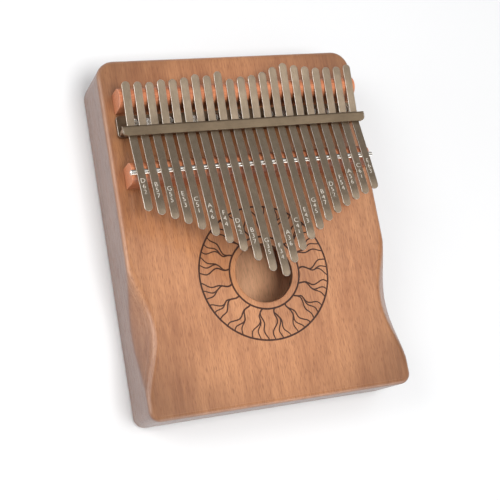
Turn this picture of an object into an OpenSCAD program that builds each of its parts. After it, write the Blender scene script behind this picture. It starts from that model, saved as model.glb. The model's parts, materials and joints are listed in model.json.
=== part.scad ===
// Box-bodied mbira: a hollow wooden body with a row of spring-steel tines, each sprung over a saddle rod
// and held down by a press bar. It lies on its back: X is across the tines, Y runs from the hand end to
// the bridges, Z is up out of the soundboard, and the origin is under the middle of the back.

/* [Body] */
// Width across the body
body_w = 150; // [135:1:185]
// Length along the tines
body_l = 195; // [176:1:240]
// Height of the side frame between the two plates
frame_h = 31; // [24:1:40]
// Thickness of the soundboard
soundboard_t = 4; // [3:0.5:6]
// Thickness of the back plate
back_t = 3; // [2.5:0.5:5]
// Wall of the side frame
wall_t = 13; // [11:0.5:18]
// Corner radius at the bridge end
head_corner_r = 10; // [7:0.5:14]
// Corner radius at the hand end
foot_corner_r = 6; // [5:0.5:12]
// Rounding of the front and back edges
edge_r = 2.5; // [1:0.25:2.75]

/* [Sound hole and hand scoops] */
// Radius of the sound hole
sound_hole_r = 16.3; // [10:0.1:20]
// Distance of the sound hole's centre below the middle of the body
sound_hole_drop = 27.2; // [20:0.1:34]
// How far a hand scoop cuts into the face
scoop_face = 9.5; // [6:0.5:11.5]
// How far a hand scoop runs down the side
scoop_side = 13; // [8:0.5:15]
// Length of a hand scoop
scoop_l = 84; // [50:1:88]
// Distance of a scoop's deepest point below the middle of the body
scoop_drop = 50; // [46:1:52]

/* [Bridges] */
// How far both bridges reach past the outer tines
bridge_overhang = 1.85; // [1:0.05:3.5]
// Width of the upper bridge
upper_bridge_w = 11; // [9:0.5:12]
// Height of the upper bridge
upper_bridge_h = 14.4; // [12:0.1:17.3]
// Distance of the upper bridge above the middle of the body
upper_bridge_y = 72.2; // [71.5:0.1:76]
// Width of the lower bridge
lower_bridge_w = 11.5; // [9:0.5:14]
// Height of the lower bridge
lower_bridge_h = 15.3; // [12.7:0.1:17]
// Distance of the lower bridge above the middle of the body
lower_bridge_y = 30.8; // [26:0.1:33]
// Radius of the saddle rod
rod_r = 1.5; // [1.2:0.1:2]
// How far the saddle rod reaches past the outer tines
rod_overhang = 2.85; // [1:0.05:4]
// How far the rod lies from the bridge's middle, towards the player
rod_offset = 1; // [0:0.1:1.5]
// How far the rod's axis stands above the bridge's surface
rod_stand = 0.3; // [0:0.1:0.6]

/* [Tines] */
// Spacing between tine centres
tine_pitch = 6.45; // [5.35:0.05:6.6]
// Width of a tine
tine_w = 4.3; // [3.5:0.1:4.6]
// Thickness of a tine
tine_t = 0.9; // [0.7:0.05:1.1]
// Speaking length of the middle tine
longest_tine = 67; // [58:0.5:80]
// Speaking length of the shortest outer tine
shortest_tine = 22; // [18:0.5:27]
// Angle at which a tine rises over the rod
tine_rise = 11.5; // [10:0.5:13]
// Length of the downturned tip
tip_l = 6; // [3:0.5:8]
// Angle of the downturned tip
tip_turn = 9; // [0:0.5:12]
// Where the shank ends lie above the middle of the body, before tuning
shank_end_y = 80.5; // [79:0.5:84]

/* [Clamp] */
// Distance of the press bar's front edge above the middle of the body
press_y = 49.7; // [47:0.1:50.2]
// Width of the press bar's flange
flange_w = 5.6; // [5:0.1:7]
// How far the press bar reaches past the outer tines
flange_overhang = 3.1; // [2.5:0.05:4.5]
// Thickness of the press bar
press_t = 1.8; // [1.4:0.1:2]
// Width of the base plate
base_w = 11.6; // [10.5:0.1:12]
// How far the base plate reaches past the outer tines
base_overhang = 2.35; // [1:0.05:3.5]
// Thickness of the base plate
base_t = 3; // [2.5:0.1:4]
// Radius of the clamp screws
clamp_r = 1.5; // [1.25:0.05:1.8]
// Radius of the wood screws
wood_screw_r = 1.5; // [1.2:0.05:1.8]
// Length of the wood screws
wood_screw_l = 16; // [12:0.5:18]

/* [Inside] */
// Height of the anchor block under the base plate
anchor_h = 15; // [13:0.5:18]
// Height of the brace under the lower bridge
brace_h = 8; // [4:0.5:12]
// Width of the brace
brace_w = 12; // [8:0.5:16]

/* [Hidden] */

$fn = 64;
eps = 0.01;
past = 1;
above_all = 60;
tine_count = 21;
array_w = (tine_count - 1) * tine_pitch + tine_w;
body_t = back_t + frame_h + soundboard_t;
board_z = back_t + frame_h;
face_z = body_t;
scoop_steps = 28;
cavity_r = 6;
bridge_l = array_w + 2 * bridge_overhang;
rod_l = array_w + 2 * rod_overhang;

// Saddle rod: it sits in a groove near the crest of the lower bridge.
lower_crest_r = lower_bridge_w / 2;
rod_y = lower_bridge_y - rod_offset;
rod_z = face_z + lower_bridge_h - lower_crest_r
    + sqrt(pow(lower_crest_r, 2) - pow(rod_offset, 2)) + rod_stand;
rod_clearance = 0.02;

// Tine path, as [y, z] of its underside.
split_gap = 0.1;
middle = (tine_count + 1) / 2;
rise_along = [-cos(tine_rise), sin(tine_rise)];
rise_up = [sin(tine_rise), cos(tine_rise)];
over_rod = [rod_y, rod_z] + (rod_r + rod_clearance) * rise_up;
flat_margin = 0.3;
flat_front_y = press_y - flat_margin;
flat_back_y = press_y + flange_w + flat_margin;
flat_z = over_rod[1] - (flat_front_y - over_rod[0]) * tan(tine_rise);
upper_crest_r = upper_bridge_w / 2;
upper_crest = [upper_bridge_y, face_z + upper_bridge_h - upper_crest_r];
to_crest = upper_crest - [flat_back_y, flat_z];
shank_rise = atan2(to_crest[1], to_crest[0]) + asin((upper_crest_r + rod_clearance) / norm(to_crest));

// Tuning: how far each shank has been pushed past the common line to bring its note true.
tuning = [-1, -1.5, -2, -1, -1, -0.5, 1, 0, 2, -2.5, -1.5, -1, 0.5, 3, 5, 3.5, 2.5, 1.5, 1.5, 1.5, 2.5];

// Clamp heights: the flange rests on the tines, and the ears of the leg stand over the base plate.
flange_z = flat_z + tine_t;
base_setback = 3.5;
base_y = press_y + base_setback;
base_corner_r = 1.5;
leg_foot_gap = 0.6;
leg_z = face_z + base_t + leg_foot_gap;
flange_l = array_w + 2 * flange_overhang;
base_l = array_w + 2 * base_overhang;
leg_end_inset = 0.5;
leg_l = base_l - 2 * leg_end_inset;
flange_corner_r = 2.6;
window_side_gap = 0.25;
window_under_gap = 0.6;
leg_y = press_y + flange_w - press_t;
ear_w = 6;
ear_reach = 6;
ear_t = 1.6;
clamp_head_gap = 2.2;
clamp_head_h = 1.9;
clamp_head_r = 1.8 * clamp_r;
clamp_hole_gap = 0.15;
clamp_hole_r = clamp_r + clamp_hole_gap;
clamp_y = leg_y + press_t + ear_reach / 2;
ear_z = flat_z - clamp_head_gap - clamp_head_h - ear_t;
clamp_foot_gap = 0.4;
clamp_l = ear_z + ear_t - face_z - clamp_foot_gap;
hex_r = 1.15;
hex_depth = 1.1;
clamp_gaps = [1.5, 4.5, 8.5, 13.5, 17.5, 20.5];
wood_screw_seats = [3, 7, 11, 15, 19];
wood_screw_setback = 1;
wood_screw_y = base_y + base_w / 2 + wood_screw_setback;
wood_head_r = 3;
cross_l = 3.6;
cross_w = 0.7;
cross_depth = 0.9;
anchor_reach = 5;
anchor_front = base_y - anchor_reach;
cavity_w = body_w - 2 * wall_t;
cavity_l = body_l - 2 * wall_t;

function seat_x(k) = (k - middle) * tine_pitch;
// Speaking lengths shorten by one ratio from note to note: the middle tine, then right and left in turn.
function note_rank(k) = k == middle ? 0 : k < middle ? 2 * (middle - k) - 1 : 2 * (k - middle);
function speaking_l(k) = longest_tine * pow(shortest_tine / longest_tine, note_rank(k) / (tine_count - 1));
function unit(v) = v / norm(v);
function left_of(d) = [-d[1], d[0]];
// Path moved sideways by t, with mitred corners.
function beside(path, t) = [
    for (i = [0 : len(path) - 1])
        let (
            before = unit(path[max(i, 1)] - path[max(i, 1) - 1]),
            after = unit(path[min(i, len(path) - 2) + 1] - path[min(i, len(path) - 2)]),
            across = left_of(before) + left_of(after)
        )
        path[i] + across * t / (1 + before * after)
];
function backwards(path) = [for (i = [len(path) - 1 : -1 : 0]) path[i]];
function ribbon(path, t) = concat(path, backwards(beside(path, t)));
function up_the_rise(u) = over_rod + u * rise_along;
function tip_step(turn) = tip_l / 2 * [-cos(tine_rise - turn), sin(tine_rise - turn)];

// Undersides, from the tip towards the bridges.
function speaking_path(k) =
    let (
        bend = up_the_rise(speaking_l(k) - tip_l),
        half_way = bend + tip_step(tip_turn / 2)
    )
    [half_way + tip_step(tip_turn), half_way, bend, up_the_rise(split_gap / 2)];
function shank_end(k) = shank_end_y + tuning[k - 1];
function shank_path(k) = [
    up_the_rise(-split_gap / 2),
    [flat_front_y, flat_z],
    [flat_back_y, flat_z],
    [shank_end(k), flat_z + (shank_end(k) - flat_back_y) * tan(shank_rise)]
];

// Half a scoop's bell-shaped outline, as [y, depth]: it leaves the edge smoothly at both ends.
function bell(depth) = [
    for (i = [0 : scoop_steps])
        let (along = -1 + 2 * i / scoop_steps)
        [along * scoop_l / 2, depth * (1 + cos(180 * along)) / 2]
];

module body_outline(inset = 0) {
    hw = body_w / 2 - inset;
    hl = body_l / 2 - inset;
    head = head_corner_r - inset;
    foot = foot_corner_r - inset;
    polygon([
        [hw - foot, -hl], [hw, foot - hl], [hw, hl - head], [hw - head, hl],
        [head - hw, hl], [-hw, hl - head], [-hw, foot - hl], [foot - hw, -hl]
    ]);
    for (side = [-1, 1]) {
        translate([side * (hw - head), hl - head]) circle(head);
        translate([side * (hw - foot), foot - hl]) circle(foot);
    }
}

// Plate whose upper edge is rounded, standing on z = 0.
module rounded_plate(thickness) {
    layer = 0.02;
    hull()
        for (turn = [0, 30, 60, 90])
            translate([0, 0, max(0, thickness - edge_r * (1 - sin(turn)) - layer)])
                linear_extrude(layer)
                    body_outline(edge_r * (1 - cos(turn)), $fn = 32);
    linear_extrude(thickness - edge_r) body_outline($fn = 32);
}

// Wedge taken off both long front edges for the hands.
module hand_scoops() {
    slope = atan2(scoop_side, scoop_face);
    bite = scoop_face * sin(slope);
    margin = 10;
    run = norm([scoop_face, scoop_side]) + 2 * margin;
    outline = concat([[-scoop_l / 2, -margin]], bell(bite), [[scoop_l / 2, -margin]]);
    for (side = [0, 1])
        mirror([side, 0, 0])
            translate([-body_w / 2, -scoop_drop, face_z])
                rotate([0, 90 - slope, 0])
                    translate([0, 0, -run / 2])
                        linear_extrude(run)
                            polygon([for (p = outline) [p[1], p[0]]]);
}

// Side profile given as [y, z], drawn out across X and centred on it.
module across_x(width) {
    rotate([90, 0, 90])
        translate([0, 0, -width / 2])
            linear_extrude(width)
                children();
}

module body_frame() {
    color("#7d5645")
        difference() {
            translate([0, 0, back_t]) linear_extrude(frame_h) body_outline();
            translate([0, 0, back_t - past]) linear_extrude(frame_h + 2 * past) cavity_outline();
            hand_scoops();
        }
}

module cavity_outline() {
    square([cavity_w - 2 * cavity_r, cavity_l], center = true);
    square([cavity_w, cavity_l - 2 * cavity_r], center = true);
    for (sx = [-1, 1])
        for (sy = [-1, 1])
            translate([sx * (cavity_w / 2 - cavity_r), sy * (cavity_l / 2 - cavity_r)])
                circle(cavity_r);
}

module soundboard() {
    color("#b9764d")
        difference() {
            translate([0, 0, board_z]) rounded_plate(soundboard_t);
            translate([0, -sound_hole_drop, board_z - past])
                cylinder(r = sound_hole_r, h = soundboard_t + 2 * past);
            wood_screw_places()
                translate([0, 0, board_z - past]) cylinder(r = wood_screw_r, h = soundboard_t + 2 * past);
            hand_scoops();
        }
}

module back_plate() {
    color("#8a5b40")
        translate([0, 0, back_t]) mirror([0, 0, 1]) rounded_plate(back_t);
}

module anchor_block() {
    back = cavity_l / 2;
    color("#c79a6b")
        difference() {
            translate([-cavity_w / 2 + cavity_r, anchor_front, board_z - anchor_h])
                cube([cavity_w - 2 * cavity_r, back - anchor_front, anchor_h]);
            wood_screw_places()
                translate([0, 0, face_z + base_t - wood_screw_l])
                    cylinder(r = wood_screw_r, h = wood_screw_l);
        }
}

module bridge_brace() {
    color("#c79a6b")
        translate([-cavity_w / 2, lower_bridge_y - brace_w / 2, board_z - brace_h])
            cube([cavity_w, brace_w, brace_h]);
}

module half_round(width, height) {
    translate([-width / 2, 0]) square([width, height - width / 2]);
    translate([0, height - width / 2]) circle(width / 2);
}

module upper_bridge() {
    color("#b5603a")
        translate([0, upper_bridge_y, face_z])
            across_x(bridge_l) half_round(upper_bridge_w, upper_bridge_h);
}

module lower_bridge() {
    color("#b5603a")
        difference() {
            translate([0, lower_bridge_y, face_z])
                across_x(bridge_l) half_round(lower_bridge_w, lower_bridge_h);
            rod_shape(bridge_l + 2 * past);
        }
}

module rod_shape(length) {
    translate([-length / 2, rod_y, rod_z]) rotate([0, 90, 0]) cylinder(r = rod_r, h = length);
}

module saddle_rod() {
    color("#cfcac2") rod_shape(rod_l);
}

module clamp_screw_places() {
    for (gap = clamp_gaps)
        translate([seat_x(gap), clamp_y, 0]) children();
}

module wood_screw_places() {
    for (seat = wood_screw_seats)
        translate([seat_x(seat), wood_screw_y, 0]) children();
}

module base_plate() {
    color("#9a938a")
        difference() {
            translate([0, base_y, face_z])
                linear_extrude(base_t)
                    union() {
                        translate([-base_l / 2, base_corner_r])
                            square([base_l, base_w - 2 * base_corner_r]);
                        translate([base_corner_r - base_l / 2, 0])
                            square([base_l - 2 * base_corner_r, base_w]);
                        for (sx = [-1, 1])
                            for (y = [base_corner_r, base_w - base_corner_r])
                                translate([sx * (base_l / 2 - base_corner_r), y]) circle(base_corner_r);
                    }
            clamp_screw_places()
                translate([0, 0, face_z - past]) cylinder(r = clamp_r, h = base_t + 2 * past);
            wood_screw_places() {
                translate([0, 0, face_z - past]) cylinder(r = wood_screw_r, h = base_t + 2 * past);
                translate([0, 0, face_z + base_t]) wood_screw_cone();
            }
        }
}

// Countersunk head hanging below z = 0.
module wood_screw_cone() {
    depth = wood_head_r - wood_screw_r;
    translate([0, 0, -depth]) cylinder(r1 = wood_screw_r, r2 = wood_head_r, h = depth);
}

// Angle bar: the flange lies on the tines, and the leg hangs behind it with a window for every tine.
module press_bar() {
    color("#8f887c")
        difference() {
            union() {
                translate([0, 0, flange_z])
                    linear_extrude(press_t)
                        flange_outline();
                translate([-leg_l / 2, leg_y, leg_z])
                    cube([leg_l, press_t, flange_z + press_t - leg_z]);
                for (gap = clamp_gaps)
                    translate([seat_x(gap) - ear_w / 2, leg_y + press_t / 2, ear_z])
                        cube([ear_w, ear_reach + press_t / 2, ear_t]);
            }
            for (k = [1 : tine_count])
                translate([
                    seat_x(k) - tine_w / 2 - window_side_gap, leg_y - past, flat_z - window_under_gap
                ])
                    cube([
                        tine_w + 2 * window_side_gap, press_t + 2 * past, flange_z - flat_z + window_under_gap
                    ]);
            clamp_screw_places()
                translate([0, 0, ear_z - past]) cylinder(r = clamp_hole_r, h = ear_t + 2 * past);
        }
}

module flange_outline() {
    half = flange_l / 2 - flange_corner_r;
    translate([-half, press_y]) square([2 * half, flange_w]);
    for (sx = [-1, 1])
        translate([sx * half, press_y]) {
            translate([0, flange_corner_r]) circle(flange_corner_r);
            translate([0, flange_w - flange_corner_r]) circle(flange_corner_r);
            translate([-flange_corner_r, flange_corner_r])
                square([2 * flange_corner_r, flange_w - 2 * flange_corner_r]);
        }
}

module wood_screws() {
    shank_l = wood_screw_l - wood_head_r + wood_screw_r;
    color("#b8b2a6")
        wood_screw_places()
            difference() {
                union() {
                    translate([0, 0, face_z + base_t]) wood_screw_cone();
                    translate([0, 0, face_z + base_t - wood_screw_l])
                        cylinder(r = wood_screw_r, h = shank_l);
                }
                for (turn = [0, 90])
                    translate([0, 0, face_z + base_t])
                        rotate([0, 0, turn])
                            cube([cross_l, cross_w, 2 * cross_depth], center = true);
            }
}

module clamp_screws() {
    color("#b8b2a6")
        clamp_screw_places()
            translate([0, 0, ear_z + ear_t])
                difference() {
                    union() {
                        cylinder(r = clamp_head_r, h = clamp_head_h);
                        translate([0, 0, -clamp_l]) cylinder(r = clamp_r, h = clamp_l + eps);
                    }
                    translate([0, 0, clamp_head_h - hex_depth])
                        cylinder(r = hex_r, h = hex_depth + past, $fn = 6);
                }
}

// Straight-sided strip with round ends, seen from above, between two values of y.
module strip_outline(y_from, y_to, round_from, round_to) {
    r = tine_w / 2;
    start = y_from + (round_from ? r : 0);
    end = y_to - (round_to ? r : 0);
    translate([-r, start]) square([tine_w, end - start]);
    if (round_from) translate([0, start]) circle(r);
    if (round_to) translate([0, end]) circle(r);
}

// Speaking part of a tine, from the saddle rod to its tip.
module tine(k) {
    path = speaking_path(k);
    tip_y = path[0][0];
    color("#a39b8d")
        translate([seat_x(k), 0, 0])
            intersection() {
                across_x(tine_w) polygon(ribbon(path, tine_t));
                translate([0, 0, face_z])
                    linear_extrude(above_all) strip_outline(tip_y, rod_y + past, true, false);
            }
}

// Clamped part of a tine, from the saddle rod under the press bar to its end over the upper bridge.
module tine_shank(k) {
    path = shank_path(k);
    color("#a39b8d")
        translate([seat_x(k), 0, 0])
            intersection() {
                across_x(tine_w) polygon(ribbon(path, tine_t));
                translate([0, 0, face_z])
                    linear_extrude(above_all) strip_outline(rod_y - past, shank_end(k) - eps, false, true);
            }
}

body_frame();
soundboard();
back_plate();
anchor_block();
bridge_brace();
upper_bridge();
lower_bridge();
saddle_rod();
base_plate();
press_bar();
wood_screws();
clamp_screws();
for (k = [1 : tine_count]) {
    name = str("tine_", k < 10 ? "0" : "", k);
    tine(k);
    tine_shank(k);
}
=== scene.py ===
"""Looks of a box-bodied mbira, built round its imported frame.

Lengths are in metres. X runs across the tines, Y from the hand end to the bridges and Z up out of the
soundboard. Each operator makes one piece, or one group of like pieces, and the stage operator makes the
floor, lights and camera.
"""

import json
import math
import random

import bmesh
import bpy
from bpy.props import FloatProperty, FloatVectorProperty, IntProperty, PointerProperty
from mathutils import Matrix, Vector
from mathutils.geometry import tessellate_polygon


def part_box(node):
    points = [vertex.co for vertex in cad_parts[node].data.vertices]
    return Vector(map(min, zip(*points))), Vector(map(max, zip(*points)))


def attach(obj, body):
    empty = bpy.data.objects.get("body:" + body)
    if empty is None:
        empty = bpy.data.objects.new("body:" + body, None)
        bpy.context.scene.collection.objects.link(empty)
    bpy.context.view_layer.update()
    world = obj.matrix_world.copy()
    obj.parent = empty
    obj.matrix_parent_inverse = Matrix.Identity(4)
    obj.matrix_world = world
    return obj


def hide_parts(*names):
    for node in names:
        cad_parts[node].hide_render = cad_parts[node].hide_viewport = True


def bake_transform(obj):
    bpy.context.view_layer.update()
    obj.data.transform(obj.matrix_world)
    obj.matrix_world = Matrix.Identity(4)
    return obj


bl_info = {
    "name": "Mbira",
    "version": (1, 0, 0),
    "blender": (4, 5, 0),
    "location": "View3D > Sidebar > Mbira",
    "description": "Builds the wood, steel and marks of a box-bodied mbira round its frame",
    "category": "Object",
}

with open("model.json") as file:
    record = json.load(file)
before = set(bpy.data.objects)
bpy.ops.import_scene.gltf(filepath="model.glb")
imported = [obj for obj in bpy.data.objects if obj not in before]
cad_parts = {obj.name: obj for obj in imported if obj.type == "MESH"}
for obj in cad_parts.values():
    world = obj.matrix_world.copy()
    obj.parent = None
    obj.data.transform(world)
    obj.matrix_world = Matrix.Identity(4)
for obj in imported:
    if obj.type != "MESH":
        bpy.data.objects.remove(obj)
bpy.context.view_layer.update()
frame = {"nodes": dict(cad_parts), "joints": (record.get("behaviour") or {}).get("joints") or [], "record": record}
MM = 0.001
ROOT_BODY = "instrument"
MAIN, SECOND, THIRD = range(3)  # a piece's material slots

# Angles in degrees at which two faces meet.
CREASE = 40.0  # a crease instead of a smooth turn
EASED = 32.0  # an edge sharp enough to be rounded
WEAR_AND_GLINT_STARTS, WEAR_AND_GLINT_FULL = 16.0, 28.0  # an edge where wear and painted highlight begin, and one where they are full

# How the body's surface is laid out.
SEAM_WIDTH = 0.15 * MM  # height of the fine joint line on each plate
FLAT_MARGIN = 0.3 * MM  # flat ring inside a rounded edge, which keeps the flat's shading flat
SCOOP_MARGIN = 3 * MM  # room below a hand scoop where the side's rows are still close together
SCOOP_TONE = 0.3  # share of the side walls' tone, with its painted shade, on the wood that the hand scoops lay open
SCOOP_RUN_IN = 0.25  # share of a scoop's depth over which its upper edge goes from sharp to blended
SIDE_FADE = 2.5  # how much faster the side's tone, with its painted shade, fades than the front edge turns
EDGE_SAVED = 0.5  # share of the edge's rounding that is given back at a scoop's deepest place
END_SPAN = 0.9  # share of the head and foot edges that their evenly spaced points cover
TINY = 1e-6

# Numbers of steps in the meshes.
ROUND_STEPS = 96  # round the sound hole
CORNER_STEPS = 10  # round a corner of the body
SIDE_STEPS = 12  # along a plain side
END_STEPS = 8  # along the head and foot edges
SCOOP_STEPS = 72  # along the part of a side that holds a scoop
HEAD_STEPS = 18  # along the rest of that side
SCOOP_ROWS = 24  # down a scoop
EDGE_STEPS = 4  # round an outer edge of the body
CREST_STEPS = 32  # over a bridge's round top
FOLD_STEPS = 6  # round the press bar's fold
FRONT_STEPS = 9  # round a front corner of the press bar
ROD_STEPS = 48  # round the saddle rod
BORE_STEPS = 24  # round a screw hole in the soundboard
TURNED_STEPS = 40  # round a drilled hole in the clamp
CLAMP_STEPS = 48  # round a clamp screw
WOOD_STEPS = 32  # round a wood screw
CIRCLE_STEPS = 144  # round a burned circle
WAVE_STEPS = 20  # along a burned line
TIP_STEPS = 8  # round a quarter of a tine's round end
PATH_STEP = 1.5 * MM  # longest straight step along a tine
BEND_STEP = 1.5  # largest turn in degrees between two steps of a bend

# How a tine's surface and its marks are laid out.
ROD_GAP = 0.02 * MM  # room between the rod and a tine
TIP_MARGIN = 0.2 * MM  # room between a round end's last point and the next step along the tine
EASE_MARGIN = 0.08 * MM  # flat row inside a tine's rounded edges
FONT_SCALE = 1.38  # font size over the height of its capitals
STROKE_TRIM = 0.008  # share of a mark's height that is taken off each side of its strokes

# Places taken from the frame.
BOARD_LOW, BOARD_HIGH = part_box("soundboard")
SIDE_LOW, SIDE_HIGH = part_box("body_frame")
BACK_LOW, BACK_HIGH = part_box("back_plate")
ROD_LOW, ROD_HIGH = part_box("saddle_rod")
PRESS_LOW, PRESS_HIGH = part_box("press_bar")
BASE_LOW, BASE_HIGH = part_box("base_plate")
HALF_W, HALF_L = BOARD_HIGH.x, BOARD_HIGH.y
FACE_Z = BOARD_HIGH.z
ROD_R = (ROD_HIGH.z - ROD_LOW.z) / 2
ROD_Y = (ROD_HIGH.y + ROD_LOW.y) / 2
ROD_Z = (ROD_HIGH.z + ROD_LOW.z) / 2
HOLE_BOX = next(o["box_m"] for o in frame["record"]["physics"]["openings"] if o["name"] == "sound_hole")
HOLE_Y = (HOLE_BOX[0][1] + HOLE_BOX[1][1]) / 2
TINES = sorted(name for name in frame["nodes"] if name.startswith("tine_") and not name.endswith("shank"))
JOINT_OF = {joint["child"].replace("speaking_", ""): joint for joint in frame["joints"]}


# ---------------------------------------------------------------- sizes and colours


def real(name, description, default, **limits):
    return FloatProperty(name=name, description=description, default=default, **limits)


def whole(name, description, default, **limits):
    return IntProperty(name=name, description=description, default=default, **limits)


def length(name, description, default):
    return real(name, description, default, min=0.0, precision=5, unit="LENGTH")


def angle(name, description, degrees):
    return real(name, description, math.radians(degrees), unit="ROTATION")


def share(name, description, default):
    return real(name, description, default, min=0.0, max=1.0, subtype="FACTOR")


def triple(name, description, default, **limits):
    return FloatVectorProperty(name=name, description=description, default=default, **limits)


def colour(name, description, default):
    return triple(name, description, default, min=0.0, max=1.0, subtype="COLOR")


def place(name, description, default):
    return triple(name, description, default, precision=5, subtype="XYZ")


class BodySizes(bpy.types.PropertyGroup):
    edge_radius: length("Edge radius", "Rounding of the front and back edges", 0.0025)
    head_corner: length("Head corner", "Corner radius at the bridge end", 0.010)
    foot_corner: length("Foot corner", "Corner radius at the hand end", 0.006)
    wall: length("Wall", "Thickness of the side walls", 0.013)
    chamber_corner: length("Chamber corner", "Corner radius inside the chamber", 0.006)
    hole_radius: length("Hole radius", "Radius of the sound hole", 0.0163)
    hole_ease: length("Hole easing", "Rounding of the sound hole's edge", 0.0006)
    scoop_face: length("Scoop on the face", "How far a hand scoop cuts into the face", 0.0095)
    scoop_side: length("Scoop on the side", "How far a hand scoop runs down the side", 0.013)
    scoop_length: length("Scoop length", "Length of a hand scoop", 0.084)
    scoop_drop: length("Scoop drop", "Distance of a scoop's middle below the body's middle", 0.050)
    scoop_blend: length("Scoop blend", "How softly a scoop runs out into the side", 0.0008)
    seam: length("Seam", "Depth of the fine joint line round each plate", 0.00008)


class BridgeSizes(bpy.types.PropertyGroup):
    ease: length("Easing", "Rounding of the bridges' cut edges", 0.0004)
    groove_gap: length("Groove gap", "Room between the rod and its groove", 0.00002)
    rod_chamfer: length("Rod chamfer", "Chamfer on the rod's ends", 0.0004)


class TineSizes(bpy.types.PropertyGroup):
    thickness: length("Thickness", "Thickness of the steel", 0.0009)
    ease: length("Easing", "Rounding of a tine's edges", 0.00022)
    rise: angle("Rise", "Angle at which a tine rises over the rod", 11.5)
    tip_length: length("Tip length", "Length of the downturned tip", 0.006)
    tip_turn: angle("Tip turn", "Angle of the downturned tip", 9.0)
    bend_radius: length("Bend radius", "Radius of the bends at the press bar", 0.012)
    tip_radius: length("Tip bend radius", "Radius of the bends near the tip", 0.030)
    press_margin: length("Press margin", "How far the level stretch reaches past the press bar", 0.0003)
    flex: length("Flexing length", "Length over which a plucked tine bends in front of the rod", 0.014)
    mark_size: length("Mark size", "Height of the etched note marks", 0.0027)
    mark_gap: length("Mark gap", "Space between the marks of one tine", 0.0006)
    mark_place: length("Mark place", "Distance of the lowest mark from the tip", 0.0092)
    mark_rise: length("Mark height", "How far the etched marks stand above the steel", 0.00001)
    mark_sheet: length("Mark thickness", "Half the thickness of an etched mark", 0.00001)


class ClampSizes(bpy.types.PropertyGroup):
    flange_width: length("Flange width", "Width of the press bar's top", 0.0056)
    sheet: length("Sheet", "Thickness of the press bar", 0.0018)
    corner: length("Corner", "Corner radius at the ends of the press bar", 0.0026)
    fold: length("Fold", "Outer radius of the press bar's fold", 0.0012)
    leg_inset: length("Leg inset", "How far the leg's ends lie inside the flange's", 0.00125)
    end_gap: length("End gap", "Step left under the flange where the leg is cut short", 0.00002)
    window: length("Window", "Width of the leg's window round each tine", 0.0048)
    window_drop: length("Window drop", "Room under each tine in its window", 0.0006)
    ear_width: length("Ear width", "Width of an ear on the press bar", 0.006)
    ear_sheet: length("Ear thickness", "Thickness of an ear", 0.0016)
    ease: length("Easing", "Rounding of the clamp's edges", 0.00026)
    base_corner: length("Base corner", "Corner radius of the base plate", 0.0015)
    screw_radius: length("Screw radius", "Radius of the clamp and wood screws", 0.0015)
    screw_gap: length("Screw gap", "Room round a clamp screw in its ear", 0.00015)
    head_height: length("Head height", "Height of a clamp screw's head", 0.0019)
    socket_radius: length("Socket radius", "Radius of the hexagon socket", 0.00115)
    socket_depth: length("Socket depth", "Depth of the hexagon socket", 0.0011)
    wood_head: length("Wood screw head", "Radius of a wood screw's head", 0.003)


class RosetteSizes(bpy.types.PropertyGroup):
    inner: length("Inner circle", "Radius of the inner burned circle", 0.0199)
    outer: length("Outer circle", "Radius of the outer burned circle", 0.0368)
    line: length("Line width", "Width of the burned circles", 0.001)
    roots: whole("Roots", "Wavy lines that leave the inner circle", 17, min=3, max=30)
    sway: length("Sway", "How far the lines wave to each side", 0.00085)
    waves: real("Waves", "Waves in a line from circle to circle", 1.7, min=0.0)
    seed: whole("Seed", "Which of the possible patterns is drawn", 11, min=0)
    relief: length("Relief", "Height of the char above the face", 0.00003)


class WoodLook(bpy.types.PropertyGroup):
    face_light: colour("Face, light", "Light tone of the soundboard", (0.59, 0.266, 0.114))
    face_dark: colour("Face, dark", "Dark tone of the soundboard", (0.345, 0.131, 0.050))
    pore: colour("Pores", "Tone of the open pores", (0.20, 0.07, 0.03))
    # The side walls' tones are partly a darker wood and partly painted shade with a painted grey sheen.
    side_shade_light: colour("Side, light", "Light tone of the side walls", (0.25, 0.138, 0.098))
    side_dark: colour("Side, dark", "Dark tone of the side walls", (0.165, 0.084, 0.060))
    bridge_light: colour("Bridge, light", "Light tone of the bridges", (0.72, 0.27, 0.125))
    bridge_dark: colour("Bridge, dark", "Dark tone of the bridges", (0.45, 0.14, 0.06))
    # The bare inside wood is paler than the stained face, and is drawn lighter still as painted light, standing in
    # for the light that reaches the chamber.
    inner_light: colour("Inside, light", "Light tone of the bare wood inside", (0.90, 0.50, 0.28))
    inner_dark: colour("Inside, dark", "Dark tone of the bare wood inside", (0.66, 0.33, 0.17))
    # The rubbed tone is partly real wear and partly a painted highlight along the wood's edges.
    rubbed_and_glinting: colour("Rubbed edge", "Tone of edges that hands have polished", (0.78, 0.50, 0.36))
    burned: colour("Burned line", "Tone of the burned lines", (0.035, 0.012, 0.006))
    # The sound hole's wall is drawn dark all round.
    hole_wall_dark: colour("Scorched edge", "Tone of the sound hole's scorched wall", (0.12, 0.050, 0.028))
    # Painted shade: the face is drawn darker towards the body's corners, standing in for light that falls off
    # there.
    painted_rim_shade: share("Rim shade", "How much darker the stain is towards the body's corners", 0.45)


class SteelLook(bpy.types.PropertyGroup):
    tine_bright: colour("Tine, bright", "Bright tone of the tines", (0.45, 0.348, 0.248))
    tine_dull: colour("Tine, dull", "Dull tone of the tines", (0.285, 0.217, 0.152))
    clamp_bright: colour("Clamp, bright", "Bright tone of the clamp", (0.33, 0.245, 0.160))
    clamp_dull: colour("Clamp, dull", "Dull tone of the clamp", (0.23, 0.170, 0.110))
    rod_bright: colour("Rod, bright", "Bright tone of the rod and screws", (0.86, 0.82, 0.76))
    rod_dull: colour("Rod, dull", "Dull tone of the rod and screws", (0.66, 0.62, 0.56))
    # Painted highlight: the steel's edges go near-white, standing in for light that catches them, over some real
    # wear.
    worn: colour("Worn edge", "Tone of bright worn edges", (0.95, 0.88, 0.78))
    mark: colour("Marks", "Tone of the etched marks", (0.88, 0.80, 0.68))


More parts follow.
